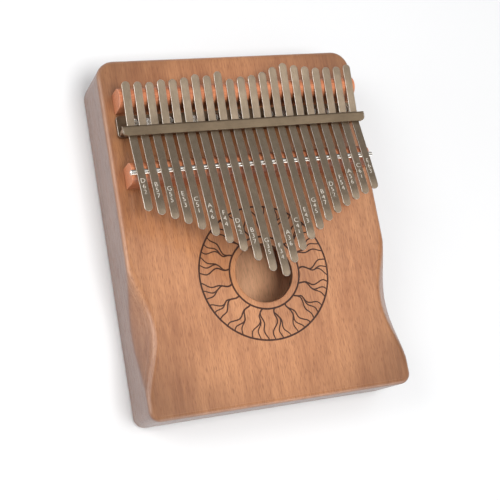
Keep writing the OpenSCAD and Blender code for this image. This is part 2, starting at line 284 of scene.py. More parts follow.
class StageLook(bpy.types.PropertyGroup):
    floor: colour("Floor", "Tone of the floor", (0.86, 0.86, 0.858))
    floor_roughness: share("Floor roughness", "How matt the floor is", 0.75)
    floor_size: length("Floor size", "Length of the floor's sides", 6.0)
    camera_spot: place("Camera", "Where the camera stands", (-0.22317, -0.12464, 0.60112))
    camera_aim: place("Aim", "Point that the camera looks at", (-0.00599, -0.01406, 0.03800))
    camera_up: place("Up", "Direction that is upright in the view", (0.09956, 0.96843, 0.22856))
    camera_lens: real("Lens", "Focal length in millimetres", 81.9, min=10.0)
    sky: colour("Sky", "Tone of the light from all round", (0.96, 0.97, 1.0))
    sky_strength: real("Sky strength", "Strength of the light from all round", 0.36)


GROUPS = {
    "mbira_body": BodySizes,
    "mbira_bridges": BridgeSizes,
    "mbira_tines": TineSizes,
    "mbira_clamp": ClampSizes,
    "mbira_rosette": RosetteSizes,
    "mbira_wood": WoodLook,
    "mbira_steel": SteelLook,
    "mbira_stage": StageLook,
}


# ---------------------------------------------------------------- shaping


def smooth(value):
    """0 below 0, 1 above 1 and an easy curve between."""
    value = max(0.0, min(1.0, value))
    return value * value * (3 - 2 * value)


def steps(first, last, count):
    """count + 1 values from first to last."""
    return [first + (last - first) * i / count for i in range(count + 1)]


def arc(centre, radius, start, end, count):
    """Points on an arc, angles in degrees, both ends included."""
    turns = [math.radians(turn) for turn in steps(start, end, count)]
    return [(centre[0] + radius * math.cos(t), centre[1] + radius * math.sin(t)) for t in turns]


def quarter(radius, count=3):
    """Steps (inset, drop) round a quarter circle, from its side to its top."""
    turns = [math.radians(turn) for turn in steps(0, 90, count)]
    return [(radius * (1 - math.cos(t)), radius * (1 - math.sin(t))) for t in turns]


def middle_y(node):
    return sum(corner.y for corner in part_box(node)) / 2


class Shell:
    """Points, faces and side mask of one piece while it is being shaped; the mask places the side walls' painted
    shade and sheen.
    """

    def __init__(self):
        self.points = []
        self.faces = []
        self.finish = []
        self.side = []
        self.material = MAIN

    def face(self, *corners):
        self.faces.append(corners)
        self.finish.append(self.material)

    def ring(self, points, side=None):
        """Adds points and gives their numbers."""
        first = len(self.points)
        self.points.extend(points)
        self.side.extend(side or [0.0] * len(points))
        return list(range(first, len(self.points)))

    def wall(self, *rings):
        """Quads between each ring and the next."""
        for one, two in zip(rings, rings[1:]):
            for i, start in enumerate(one):
                j = (i + 1) % len(one)
                self.face(start, one[j], two[j], two[i])

    def fill(self, *loops):
        """Flat faces inside the first loop and outside the others."""
        if len(loops) == 1:
            self.face(*loops[0])
            return
        numbers = [i for loop in loops for i in loop]
        outlines = [[Vector(self.points[i]) for i in loop] for loop in loops]
        for triangle in tessellate_polygon(outlines):
            self.face(*(numbers[i] for i in triangle))

    def closed(self, rings):
        """A closed body: walls between the rings, and its two ends filled."""
        self.wall(*rings)
        self.fill(rings[0])
        self.fill(rings[-1])

    def across(self, ring):
        """Quads straight across a long ring that is the same on both sides of its first point."""
        count = len(ring)
        self.face(ring[0], ring[1], ring[-1])
        for i in range(1, count // 2 - 1):
            self.face(ring[i], ring[i + 1], ring[count - i - 1], ring[count - i])
        self.face(ring[count // 2 - 1], ring[count // 2], ring[count // 2 + 1])

    def piece(self, name, *materials):
        """The shaped piece as an object with outward faces."""
        mesh = bpy.data.meshes.new(name)
        mesh.from_pydata(self.points, [], self.faces)
        mesh.polygons.foreach_set("material_index", self.finish)
        mesh.attributes.new("side", "FLOAT", "POINT").data.foreach_set("value", self.side)
        shaped = bmesh.new()
        shaped.from_mesh(mesh)
        bmesh.ops.recalc_face_normals(shaped, faces=shaped.faces)
        shaped.to_mesh(mesh)
        shaped.free()
        for material in materials:
            mesh.materials.append(material)
        made = bpy.data.objects.new(name, mesh)
        bpy.context.scene.collection.objects.link(made)
        return made


def prism(shell, outline, low, high):
    """Closed bar along X with the outline [y, z]."""
    shell.closed([shell.ring([(x, y, z) for y, z in outline]) for x in (low, high)])


def block(shell, low, high):
    """Closed box between two corners."""
    outline = [(low[1], low[2]), (high[1], low[2]), (high[1], high[2]), (low[1], high[2])]
    prism(shell, outline, low[0], high[0])


def turned(shell, profile, centre, count=TURNED_STEPS, radius_at=None):
    """Closed round piece about an upright axis. The profile is [radius, z] from its foot to its end."""
    rings = []
    for step, (radius, z) in enumerate(profile):
        points = []
        for turn in (math.tau * i / count for i in range(count)):
            reach = radius * radius_at(step, turn) if radius_at else radius
            points.append((centre[0] + reach * math.cos(turn), centre[1] + reach * math.sin(turn), z))
        rings.append(shell.ring(points))
    shell.closed(rings)


def worked_in(piece):
    """The piece with its modifiers worked into its own mesh."""
    graph = bpy.context.evaluated_depsgraph_get()
    rough = piece.data
    piece.data = bpy.data.meshes.new_from_object(piece.evaluated_get(graph))
    piece.modifiers.clear()
    piece.data.name = piece.name
    bpy.data.meshes.remove(rough)
    return piece


def carve(piece, cutter, operation="DIFFERENCE"):
    """Cuts the cutter's shape out of the piece, or joins it on."""
    knife = cutter.piece(piece.name + "_cutter")
    tool = piece.modifiers.new("carve", "BOOLEAN")
    tool.operation = operation
    tool.solver = "EXACT"
    tool.object = knife
    worked_in(piece)
    bpy.data.objects.remove(knife)


def ease_edges(piece, width, segments=3):
    """Rounds each sharp edge and keeps the flats flat."""
    bevel = piece.modifiers.new("ease", "BEVEL")
    bevel.width = width
    bevel.segments = segments
    bevel.limit_method = "ANGLE"
    bevel.angle_limit = math.radians(EASED)
    piece.data.shade_smooth()
    piece.modifiers.new("flats", "WEIGHTED_NORMAL").keep_sharp = False
    return worked_in(piece)


def mark_edges(piece):
    """Writes how sharply the surface turns at each point, which the wear and the painted edge highlight follow."""
    flat, sharp = math.radians(WEAR_AND_GLINT_STARTS), math.radians(WEAR_AND_GLINT_FULL)
    shaped = bmesh.new()
    shaped.from_mesh(piece.data)
    turns = []
    for corner in shaped.verts:
        joints = [edge.calc_face_angle(0.0) for edge in corner.link_edges]
        turns.append(smooth((max(joints, default=0.0) - flat) / (sharp - flat)))
    shaped.free()
    piece.data.attributes.new("edge", "FLOAT", "POINT").data.foreach_set("value", turns)


def settle(piece, slot, *nodes):
    """Finishes a piece of the fixed body: shading, the edge mask for wear and painted highlight, and the CAD nodes
    it stands for. Its slot is not used.
    """
    piece.data.shade_smooth()
    piece.data.set_sharp_from_angle(angle=math.radians(CREASE))
    mark_edges(piece)
    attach(piece, ROOT_BODY)
    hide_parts(*nodes)


def spots(node, apart=2 * MM, digits=5):
    """Middles along X of the separate solids in one CAD node, which lie at least this far apart."""
    values = sorted({round(point.co.x, digits) for point in frame["nodes"][node].data.vertices})
    rows = [[values[0]]]
    for value in values[1:]:
        if value - rows[-1][-1] > apart:
            rows.append([])
        rows[-1].append(value)
    return [(row[0] + row[-1]) / 2 for row in rows]


# ---------------------------------------------------------------- materials


class Graph:
    """Short ways to add nodes to one node tree and link them."""

    # Sockets of a Mix node that mixes colours.
    MIX_AMOUNT, MIX_ONE, MIX_TWO, MIX_RESULT = 0, 6, 7, 2

    def __init__(self, tree):
        self.tree = tree

    def node(self, kind, inputs=None, **settings):
        made = self.tree.nodes.new("ShaderNode" + kind)
        for name, value in settings.items():
            setattr(made, name, value)
        for name, value in (inputs or {}).items():
            self.feed(made.inputs[name], value)
        return made

    def feed(self, socket, value):
        if isinstance(value, bpy.types.NodeSocket):
            self.tree.links.new(value, socket)
        elif hasattr(value, "__len__") and len(value) == 3 and socket.type == "RGBA":
            socket.default_value = (*value, 1.0)
        else:
            socket.default_value = value

    def math(self, operation, one, two=0.0):
        return self.node("Math", {0: one, 1: two}, operation=operation).outputs[0]

    def noise(self, where, stretch, scale, detail=2.0, rough=0.5):
        """Noise drawn out along Y by a stretch below 1."""
        drawn = self.node("VectorMath", {0: where, 1: (1.0, stretch, 1.0)}, operation="MULTIPLY").outputs[0]
        made = self.node("TexNoise", {"Vector": drawn, "Scale": scale, "Detail": detail, "Roughness": rough})
        return made.outputs["Fac"]

    def span(self, value, low, high, to_low=0.0, to_high=1.0):
        """The value moved from the range low to high into the range to_low to to_high."""
        ends = {"From Min": low, "From Max": high, "To Min": to_low, "To Max": to_high}
        return self.node("MapRange", {"Value": value, **ends}).outputs["Result"]

    def weighted(self, first, *others):
        """Sum of values that are given as (value, weight)."""
        total = self.math("MULTIPLY", *first)
        for part in others:
            total = self.math("ADD", total, self.math("MULTIPLY", *part))
        return total

    def mix(self, amount, one, two):
        made = self.node("Mix", data_type="RGBA")
        for socket, value in ((self.MIX_AMOUNT, amount), (self.MIX_ONE, one), (self.MIX_TWO, two)):
            self.feed(made.inputs[socket], value)
        return made.outputs[self.MIX_RESULT]


def group(name, inputs, outputs):
    """A new node group and its graph. Sockets are given as {name: kind}."""
    tree = bpy.data.node_groups.new(name, "ShaderNodeTree")
    for sockets, side in ((inputs, "INPUT"), (outputs, "OUTPUT")):
        for socket, kind in sockets.items():
            tree.interface.new_socket(name=socket, in_out=side, socket_type="NodeSocket" + kind)
    graph = Graph(tree)
    return tree, graph, tree.nodes.new("NodeGroupInput"), tree.nodes.new("NodeGroupOutput")


def wood_grain():
    """Node group: figure, streaks, fibre and short open pores of a reddish wood with its grain along Y."""
    if "wood_grain" in bpy.data.node_groups:
        return bpy.data.node_groups["wood_grain"]
    tree, graph, given, made = group(
        "wood_grain",
        {"Vector": "Vector", "Light": "Color", "Dark": "Color", "Pore": "Color", "Pore Amount": "Float"},
        {"Color": "Color", "Roughness": "Float", "Height": "Float"},
    )
    where = given.outputs["Vector"]
    figure = graph.noise(where, stretch=0.45, scale=48.0, detail=3.0, rough=0.6)
    streak = graph.noise(where, stretch=0.07, scale=330.0, detail=3.0, rough=0.6)
    fibre = graph.noise(where, stretch=0.035, scale=1500.0, rough=0.6)
    pores = graph.noise(where, stretch=0.085, scale=2900.0, detail=1.0, rough=0.4)
    pores = graph.span(pores, low=0.54, high=0.70)
    figure_share, streak_share, fibre_share = 0.46, 0.30, 0.24
    tone = graph.weighted((figure, figure_share), (streak, streak_share), (fibre, fibre_share))
    plain = graph.mix(graph.span(tone, low=0.37, high=0.63), given.outputs["Dark"], given.outputs["Light"])
    amount = graph.math("MULTIPLY", pores, given.outputs["Pore Amount"])
    graph.feed(made.inputs["Color"], graph.mix(amount, plain, given.outputs["Pore"]))
    dull_fibre = graph.span(fibre, low=0.3, high=0.7, to_low=0.40, to_high=0.54)
    pore_roughness, fibre_height = 0.2, 0.35
    rough = graph.math("ADD", dull_fibre, graph.math("MULTIPLY", pores, pore_roughness))
    graph.feed(made.inputs["Roughness"], rough)
    raised = graph.math("MULTIPLY", fibre, fibre_height)
    graph.feed(made.inputs["Height"], graph.math("SUBTRACT", raised, pores))
    return tree


def stained_rim():
    """Node group: painted shade, a mask that grows towards the body's corners, where the face is drawn darker as
    if less light fell there.
    """
    if "stained_rim" in bpy.data.node_groups:
        return bpy.data.node_groups["stained_rim"]
    tree, graph, given, made = group("stained_rim", {"Vector": "Vector"}, {"Shade": "Float"})
    shares = (1 / HALF_W, 1 / HALF_L, 0.0)
    flat = graph.node("VectorMath", {0: given.outputs["Vector"], 1: shares}, operation="MULTIPLY").outputs[0]
    away = graph.node("VectorMath", {0: flat}, operation="LENGTH").outputs["Value"]
    ease_in = 1.2
    graph.feed(made.inputs["Shade"], graph.math("POWER", graph.span(away, low=0.78, high=1.28), ease_in))
    return tree


def brushed_steel():
    """Node group: fine brush lines along Y, cloudy plating and smudges on steel."""
    if "brushed_steel" in bpy.data.node_groups:
        return bpy.data.node_groups["brushed_steel"]
    tree, graph, given, made = group(
        "brushed_steel",
        {"Vector": "Vector", "Bright": "Color", "Dull": "Color", "Mattness": "Float"},
        {"Color": "Color", "Roughness": "Float", "Height": "Float"},
    )
    where = given.outputs["Vector"]
    lines = graph.noise(where, stretch=0.025, scale=5200.0, rough=0.6)
    cloud = graph.noise(where, stretch=0.6, scale=420.0, detail=3.0, rough=0.6)
    smudge = graph.noise(where, stretch=0.8, scale=70.0)
    line_share, cloud_share = 0.6, 0.4
    tone = graph.weighted((lines, line_share), (cloud, cloud_share))
    mixed = graph.mix(graph.span(tone, low=0.30, high=0.70), given.outputs["Dull"], given.outputs["Bright"])
    graph.feed(made.inputs["Color"], mixed)
    brushed = graph.span(lines, low=0.3, high=0.7, to_low=0.30, to_high=0.44)
    smudged = graph.span(smudge, low=0.35, high=0.7, to_low=-0.03, to_high=0.07)
    rough = graph.math("ADD", brushed, smudged)
    graph.feed(made.inputs["Roughness"], graph.math("MULTIPLY", rough, given.outputs["Mattness"]))
    graph.feed(made.inputs["Height"], lines)
    return tree


def edge_wear():
    """Node group: a broken mask along the piece's edges, where hands and tools have rubbed it and where a painted
    highlight stands in for light catching them.
    """
    if "edge_wear" in bpy.data.node_groups:
        return bpy.data.node_groups["edge_wear"]
    tree, graph, given, made = group("edge_wear", {"Vector": "Vector", "Amount": "Float"}, {"Wear": "Float"})
    edge = graph.node("Attribute", attribute_name="edge", attribute_type="GEOMETRY").outputs["Fac"]
    patchy = graph.noise(given.outputs["Vector"], stretch=0.5, scale=110.0, detail=3.0, rough=0.6)
    broken = graph.span(patchy, low=0.32, high=0.62, to_low=0.4)
    worn = graph.math("MULTIPLY", graph.math("MULTIPLY", edge, broken), given.outputs["Amount"])
    graph.feed(made.inputs["Wear"], worn)
    return tree


def material(name, tree, tones, worn, wear, depth, metallic=0.0, turn=0.0, side=None, **sockets):
    """A material from one surface group and the group for wear and painted edge highlight.

    worn is the tone that wear and painted edge highlight lay bare, wear their strength, depth the height of the
    surface's relief and turn the grain's angle in degrees. A side gives the tones used where the side mask is 1,
    which hold painted shade and sheen; the face's tones then also get painted shade towards the body's corners."""
    if name in bpy.data.materials:
        return bpy.data.materials[name]
    made = bpy.data.materials.new(name)
    made.use_nodes = True
    made.node_tree.nodes.clear()
    graph = Graph(made.node_tree)
    shader = graph.node("BsdfPrincipled", {"Metallic": metallic, **sockets})
    graph.feed(graph.node("OutputMaterial").inputs["Surface"], shader.outputs["BSDF"])
    where = graph.node("TexCoord").outputs["Object"]
    if turn:
        rotation = (0.0, 0.0, math.radians(turn))
        where = graph.node("Mapping", {"Vector": where, "Rotation": rotation}).outputs[0]
    surface = graph.node("Group", node_tree=tree)
    graph.feed(surface.inputs["Vector"], where)
    if side:
        # The side mask swaps in the side walls' tones, which hold painted shade and sheen.
        mask = graph.node("Attribute", attribute_name="side").outputs["Fac"]
        # Painted shade towards the body's corners: the face's tones are mixed towards darker copies of themselves.
        shade = graph.node("Group", node_tree=stained_rim())
        graph.feed(shade.inputs["Vector"], where)
        rim = 1 - bpy.context.scene.mbira_wood.painted_rim_shade
        for socket, tone in side.items():
            shaded = tuple(part * rim for part in tones[socket])
            face = graph.mix(shade.outputs["Shade"], tones[socket], shaded)
            tones = {**tones, socket: graph.mix(mask, face, tone)}
    for socket, tone in tones.items():
        graph.feed(surface.inputs[socket], tone)
    # Wear and painted edge highlight: along sharp edges the tone goes to worn.
    rubbed_and_glinting = graph.node("Group", node_tree=edge_wear())
    graph.feed(rubbed_and_glinting.inputs["Vector"], where)
    graph.feed(rubbed_and_glinting.inputs["Amount"], wear)
    tone = graph.mix(rubbed_and_glinting.outputs["Wear"], surface.outputs["Color"], worn)
    graph.feed(shader.inputs["Base Color"], tone)
    graph.feed(shader.inputs["Roughness"], surface.outputs["Roughness"])
    bump = graph.node("Bump", {"Strength": 0.6, "Distance": depth, "Height": surface.outputs["Height"]})
    graph.feed(shader.inputs["Normal"], bump.outputs["Normal"])
    return made


def timber(name, light, dark, pore, pore_amount, **finish):
    tones = {"Light": light, "Dark": dark, "Pore": pore, "Pore Amount": pore_amount}
    return material(name, wood_grain(), tones, **finish)


def steel(name, bright, dull, mattness, **finish):
    return material(name, brushed_steel(), {"Bright": bright, "Dull": dull, "Mattness": mattness}, **finish)


def body_wood(name="varnished_body", turn=0.0):
    look = bpy.context.scene.mbira_wood
    return timber(
        name, look.face_light, look.face_dark, look.pore, pore_amount=0.55,
        worn=look.rubbed_and_glinting, wear=0.15, depth=0.08 * MM, turn=turn,
        side={"Light": look.side_shade_light, "Dark": look.side_dark},
        **{"Coat Weight": 0.5, "Coat Roughness": 0.22},
    )


def bridge_wood():
    look = bpy.context.scene.mbira_wood
    return timber(
        "stained_bridge", look.bridge_light, look.bridge_dark, look.pore, pore_amount=0.45,
        worn=look.rubbed_and_glinting, wear=0.3, depth=0.06 * MM, turn=90.0,
    )


def inner_wood():
    look = bpy.context.scene.mbira_wood
    return timber(
        "bare_timber", look.inner_light, look.inner_dark, look.pore, pore_amount=0.3,
        worn=look.rubbed_and_glinting, wear=0.1, depth=0.1 * MM,
    )


def burned_wood(paler=2.2):
    """The char of the rosette. paler is how many times as light its light fibres are."""
    look = bpy.context.scene.mbira_wood
    char = tuple(tone * paler for tone in look.burned)
    return timber(
        "charred_line", char, look.burned, look.burned, pore_amount=0.5,
        worn=char, wear=0.0, depth=0.03 * MM,
    )


def hole_wall_wood(darker=0.7):
    """The wall of the sound hole. darker is the share of its tone in its dark fibres."""
    look = bpy.context.scene.mbira_wood
    dark = tuple(tone * darker for tone in look.hole_wall_dark)
    return timber(
        "scorched_edge", look.hole_wall_dark, dark, look.burned, pore_amount=0.4,
        worn=look.hole_wall_dark, wear=0.0, depth=0.05 * MM,
    )


def tine_steel():
    look = bpy.context.scene.mbira_steel
    return steel(
        "plated_tine", look.tine_bright, look.tine_dull, mattness=1.0,
        # Most of this edge brightening is painted highlight.
        worn=look.worn, wear=0.85, depth=0.008 * MM, metallic=1.0,
    )


def clamp_steel():
    look = bpy.context.scene.mbira_steel
    return steel(
        "plated_clamp", look.clamp_bright, look.clamp_dull, mattness=1.05,
        # Most of this edge brightening is painted highlight.
        worn=look.worn, wear=0.9, depth=0.008 * MM, metallic=1.0, turn=90.0,
    )


def rod_steel():
    look = bpy.context.scene.mbira_steel
    return steel(
        "polished_rod", look.rod_bright, look.rod_dull, mattness=0.5,
        worn=look.worn, wear=0.5, depth=0.003 * MM, metallic=1.0, turn=90.0,
    )


def etched_steel(frosting=0.85):
    """The etched marks. frosting is the share of their tone in their dull streaks."""
    look = bpy.context.scene.mbira_steel
    frosted = tuple(tone * frosting for tone in look.mark)
    return steel(
        "etched_mark", look.mark, frosted, mattness=1.5,
        worn=look.mark, wear=0.0, depth=0.004 * MM, metallic=0.35,
    )


# ---------------------------------------------------------------- body


def rounded_outline(half_w, half_l, head, foot, inset=0.0, sides=None):
    """Outline [x, y] of the body, anticlockwise from the foot end of its right side."""
    sides = sides or steps(foot - half_l, half_l - head, SIDE_STEPS)
    ends = steps(-END_SPAN, END_SPAN, END_STEPS)
    right = [(half_w - inset, y) for y in sides]
    left = [(-x, y) for x, y in reversed(right)]
    corners = [
        arc((half_w - head, half_l - head), head - inset, 0, 90, CORNER_STEPS)[1:],
        arc((head - half_w, half_l - head), head - inset, 90, 180, CORNER_STEPS)[:-1],
        arc((foot - half_w, foot - half_l), foot - inset, 180, 270, CORNER_STEPS)[1:],
        arc((half_w - foot, foot - half_l), foot - inset, 270, 360, CORNER_STEPS)[:-1],
    ]
    head_edge = [(-along * (half_w - head), half_l - inset) for along in ends]
    foot_edge = [(along * (half_w - foot), inset - half_l) for along in ends]
    return right + corners[0] + head_edge + corners[1] + left + corners[2] + foot_edge + corners[3]


def scoop_bell(y, body):
    """Share of a hand scoop's full depth at this place along the body."""
    along = (y + body.scoop_drop) / (body.scoop_length / 2)
    return (1 + math.cos(math.pi * along)) / 2 if abs(along) < 1 else 0.0


def scoop_cut(y, z, body):
    """How deep a hand scoop cuts the side here, and how far the surface here is the scoop's."""
    bell = scoop_bell(y, body)
    if bell == 0.0:
        return 0.0, 0.0
    sharp = body.scoop_face * (bell - (FACE_Z - z) / body.scoop_side)
    soft = body.scoop_blend * smooth(bell / SCOOP_RUN_IN) + TINY
    span = math.hypot(sharp, soft)
    return (sharp + span) / 2, (1 + sharp / span) / 2


def side_places(body):
    """Values of y along a side, close together in the hand scoop."""
    foot, head = body.foot_corner - HALF_L, HALF_L - body.head_corner
    scoop_end = body.scoop_length / 2 - body.scoop_drop
    return steps(foot, scoop_end, SCOOP_STEPS) + steps(scoop_end, head, HEAD_STEPS)[1:]


def body_ring(shell, z, body, inset=0.0, rounded=0.0):
    """Outer ring of the body at one height, with the hand scoops in its sides.

    rounded says how far the front edge has turned here, from 0 at the side to 1 at the face."""
    radius = body.edge_radius
    places = side_places(body)
    points, mask = [], []
    for x, y in rounded_outline(HALF_W, HALF_L, body.head_corner, body.foot_corner, inset, places):
        on_side = places[0] <= y <= places[-1]
        depth, cut = scoop_cut(y, z, body) if on_side else (0.0, 0.0)
        # Over a scoop the edge turns through less than a quarter, so it takes less off the face.
        eased = EDGE_SAVED * scoop_bell(y, body) * min(inset, radius) if on_side else 0.0
        points.append((math.copysign(abs(x) - depth + eased, x), y, z))
        # The mask lays on the side walls' painted shade and sheen; a scoop keeps part of it, and it fades out
        # round the front edge.
        mask.append((1 - (1 - SCOOP_TONE) * cut) * (1 - smooth(rounded * SIDE_FADE)))
    return shell.ring(points, mask)


def circle(shell, radius, z, centre, count=ROUND_STEPS):
    x, y = centre
    turns = [math.tau * i / count for i in range(count)]
    return shell.ring([(x + radius * math.cos(t), y + radius * math.sin(t), z) for t in turns])


def edge_levels(body):
    """Rounding of an outer edge as (rise, inset, share of the turn), from the side to the flat."""
    radius = body.edge_radius
    turned_by = [(math.radians(turn), turn / 90) for turn in steps(0, 90, EDGE_STEPS)]
    return [(radius * math.sin(t), radius * (1 - math.cos(t)), part) for t, part in turned_by]


class MBIRA_OT_soundboard(bpy.types.Operator):
    """Make the soundboard with its rounded edge, hand scoops and sound hole"""

    bl_idname = "mbira.soundboard"
    bl_label = "Soundboard"
    bl_options = {"REGISTER", "UNDO"}

    def execute(self, context):
        body = context.scene.mbira_body
        low, start = BOARD_LOW.z, FACE_Z - body.edge_radius
        above_seam, below_edge = 0.5 * MM, 0.4 * MM
        shell = Shell()
        rings = [body_ring(shell, low, body, body.seam), body_ring(shell, low + SEAM_WIDTH, body)]
        rings += [body_ring(shell, z, body) for z in steps(low + above_seam, start - below_edge, 2)]
        for rise, inset, turn in edge_levels(body):
            rings.append(body_ring(shell, start + rise, body, inset, turn))
        rings.append(body_ring(shell, FACE_Z, body, body.edge_radius + FLAT_MARGIN, 1.0))
        shell.wall(*rings)
        radius, ease = body.hole_radius, body.hole_ease
        hole = [(radius, low), (radius, FACE_Z - ease)]
        hole += [(radius + out, FACE_Z - drop) for out, drop in quarter(ease)[1:]]
        hole.append((radius + 2 * ease, FACE_Z))
        hole_rings = [circle(shell, r, z, (0.0, HOLE_Y)) for r, z in hole]
        shell.wall(*hole_rings[1:])
        shell.material = THIRD
        shell.wall(*hole_rings[:2])
        shell.material = MAIN
        screw_y, screw_r = middle_y("wood_screws"), context.scene.mbira_clamp.screw_radius
        bores = []
        for x in spots("wood_screws"):
            bores.append([circle(shell, screw_r, z, (x, screw_y), BORE_STEPS) for z in (low, FACE_Z)])
        for bore in bores:
            shell.wall(*bore)
        shell.fill(rings[-1], hole_rings[-1], *(bore[1] for bore in bores))
        shell.material = SECOND
        shell.fill(rings[0], hole_rings[0], *(bore[0] for bore in bores))
        made = shell.piece("soundboard_panel", body_wood(), inner_wood(), hole_wall_wood())
        settle(made, "face_wood", "soundboard")
        return {"FINISHED"}


class MBIRA_OT_side_frame(bpy.types.Operator):
    """Make the side frame, hollowed out and scooped for the hands"""

    bl_idname = "mbira.side_frame"
    bl_label = "Side frame"
    bl_options = {"REGISTER", "UNDO"}

    def execute(self, context):
        body = context.scene.mbira_body
        low, high = SIDE_LOW.z, SIDE_HIGH.z
        scoop_foot = FACE_Z - body.scoop_side
        shell = Shell()
        levels = [low + SEAM_WIDTH, (low + scoop_foot) / 2]
        levels += steps(scoop_foot - SCOOP_MARGIN, high - SEAM_WIDTH, SCOOP_ROWS)
        rings = [body_ring(shell, low, body, body.seam)]
        rings += [body_ring(shell, z, body) for z in levels]
        rings.append(body_ring(shell, high, body, body.seam))
        shell.wall(*rings)
        shell.material = SECOND
        corner = body.chamber_corner
        chamber = rounded_outline(HALF_W - body.wall, HALF_L - body.wall, corner, corner)
        inner = [shell.ring([(x, y, z) for x, y in chamber]) for z in (low, high)]
        shell.wall(*inner)
        shell.fill(rings[0], inner[0])
        shell.fill(rings[-1], inner[-1])
        made = shell.piece("side_frame", body_wood(), inner_wood(), body_wood("varnished_end", 90.0))
        # The head and foot walls are boards of their own, and their grain runs across.
        half_turned = math.cos(math.radians(45))
        for polygon in made.data.polygons:
            if polygon.material_index == MAIN and abs(polygon.normal.y) > half_turned:
                polygon.material_index = THIRD
        settle(made, "side_wood", "body_frame")
        return {"FINISHED"}


class MBIRA_OT_back_panel(bpy.types.Operator):
    """Make the back panel with its rounded edge"""

    bl_idname = "mbira.back_panel"
    bl_label = "Back panel"
    bl_options = {"REGISTER", "UNDO"}

    def execute(self, context):
        body = context.scene.mbira_body
        shell = Shell()
        start = BACK_LOW.z + body.edge_radius
        rings = [body_ring(shell, BACK_LOW.z, body, body.edge_radius + FLAT_MARGIN)]
        for rise, inset, _ in reversed(edge_levels(body)):
            rings.append(body_ring(shell, start - rise, body, inset))
        rings.append(body_ring(shell, BACK_HIGH.z - SEAM_WIDTH, body))
        rings.append(body_ring(shell, BACK_HIGH.z, body, body.seam))
        shell.wall(*rings)
        shell.fill(rings[0])
        shell.material = SECOND
        shell.fill(rings[-1])
        made = shell.piece("back_panel", body_wood(), inner_wood())
        settle(made, "back_wood", "back_plate")
        return {"FINISHED"}


class MBIRA_OT_inner_blocks(bpy.types.Operator):
    """Make the anchor block and the bridge brace inside the chamber"""

    bl_idname = "mbira.inner_blocks"
    bl_label = "Inner blocks"
    bl_options = {"REGISTER", "UNDO"}

    def execute(self, context):
        ease = context.scene.mbira_bridges.ease
        for node, name in (("anchor_block", "anchor_timber"), ("bridge_brace", "brace_timber")):
            shell = Shell()
            block(shell, *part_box(node))
            made = ease_edges(shell.piece(name, inner_wood()), ease)
            settle(made, "inner_wood", node)
        return {"FINISHED"}


# ---------------------------------------------------------------- bridges


def bridge_outline(low, high, groove=None):
    """Outline [y, z] of a bridge with a half-round top. The groove is (y, z, radius) of the rod's seat."""
    radius = (high.y - low.y) / 2
    centre = ((high.y + low.y) / 2, high.z - radius)
    foot = [(low.y, low.z), (high.y, low.z)]
    if groove is None:
        return foot + arc(centre, radius, 0, 180, CREST_STEPS)
    half_steps = CREST_STEPS // 2
    seat_r = groove[2]
    away = math.hypot(groove[0] - centre[0], groove[1] - centre[1])
    aim = math.degrees(math.atan2(groove[1] - centre[1], groove[0] - centre[0]))
    on_crest = math.degrees(math.acos((radius**2 + away**2 - seat_r**2) / (2 * radius * away)))
    on_groove = math.degrees(math.acos((seat_r**2 + away**2 - radius**2) / (2 * seat_r * away)))
    crest_front = arc(centre, radius, 0, aim - on_crest, half_steps)
    seat = arc(groove[:2], seat_r, aim + 180 + on_groove, aim + 180 - on_groove, half_steps)
    crest_back = arc(centre, radius, aim + on_crest, 180, half_steps)
    return foot + crest_front + seat[1:-1] + crest_back


class MBIRA_OT_bridges(bpy.types.Operator):
    """Make the upper bridge and the lower bridge with the rod's groove"""

    bl_idname = "mbira.bridges"
    bl_label = "Bridges"
    bl_options = {"REGISTER", "UNDO"}

    def execute(self, context):
        sizes = context.scene.mbira_bridges
        groove = (ROD_Y, ROD_Z, ROD_R + sizes.groove_gap)
        rails = (("upper_bridge", "upper_rail", None), ("lower_bridge", "lower_rail", groove))
        for node, name, seat in rails:
            low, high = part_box(node)
            shell = Shell()
            prism(shell, bridge_outline(low, high, seat), low.x, high.x)
            made = ease_edges(shell.piece(name, bridge_wood()), sizes.ease)
            settle(made, "bridge_wood", node)
        return {"FINISHED"}


class MBIRA_OT_saddle_rod(bpy.types.Operator):
    """Make the polished saddle rod with chamfered ends"""

    bl_idname = "mbira.saddle_rod"
    bl_label = "Saddle rod"
    bl_options = {"REGISTER", "UNDO"}

    def execute(self, context):
        chamfer = context.scene.mbira_bridges.rod_chamfer
        flat = ROD_R - 1.4 * chamfer
        profile = [
            (flat, ROD_LOW.x), (ROD_R - chamfer, ROD_LOW.x), (ROD_R, ROD_LOW.x + chamfer),
            (ROD_R, ROD_LOW.x + 2 * chamfer), (ROD_R, ROD_HIGH.x - 2 * chamfer),
            (ROD_R, ROD_HIGH.x - chamfer), (ROD_R - chamfer, ROD_HIGH.x), (flat, ROD_HIGH.x),
        ]
        last_turn = 360 - 360 / ROD_STEPS
        shell = Shell()
        rings = []
        for radius, x in profile:
            section = arc((ROD_Y, ROD_Z), radius, 0, last_turn, ROD_STEPS - 1)
            rings.append(shell.ring([(x, y, z) for y, z in section]))
        shell.closed(rings)
        settle(shell.piece("rod_bar", rod_steel()), "rod_steel", "saddle_rod")
        return {"FINISHED"}


# ---------------------------------------------------------------- clamp


